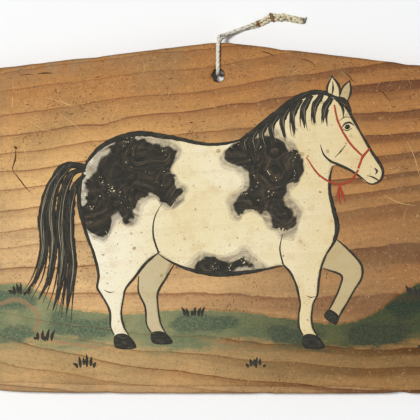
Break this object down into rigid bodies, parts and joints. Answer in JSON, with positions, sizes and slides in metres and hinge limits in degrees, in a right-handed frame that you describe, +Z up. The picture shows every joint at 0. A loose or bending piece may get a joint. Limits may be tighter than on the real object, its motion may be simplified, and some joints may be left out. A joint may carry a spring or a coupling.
{
  "type": "ema plaque",
  "caption": "House-shaped wooden votive plaque with a painted face, hung by a thin string that goes through a hole near its peak and is knotted near its ends.",
  "frame": {"origin": "middle of the plank's box, on the surface that the plaque lies on", "axes": "the plaque lies on its back: +X to the right of the painted face along the grain, +Y towards the peak, +Z up out of the face"},
  "size_m": [0.242, 0.1973, 0.013],
  "materials": {
    "plank": "planed softwood, aged and unvarnished",
    "string": "twisted two-ply fibre string, matte",
    "shell_white": "matte shell-white paint, yellowed",
    "ink": "matte brushed ink",
    "green_earth": "matte green wash, worn",
    "red_earth": "matte red paint"
  },
  "bodies": {
    "plaque": {"board": "plank", "front_leg": "string", "back_leg": "string"},
    "hanging_cord": {"front_run": "string", "back_run": "string", "end_knot": "string", "front_tail": "string", "back_tail": "string"}
  },
  "joints": [
    {"name": "cord_swing", "type": "hinge", "parent": "plaque", "child": "hanging_cord", "pos_m": [-0.00138, 0.0885, 0.0065], "axis": [0, 0, 1], "range_deg": [-15, 20]}
  ]
}
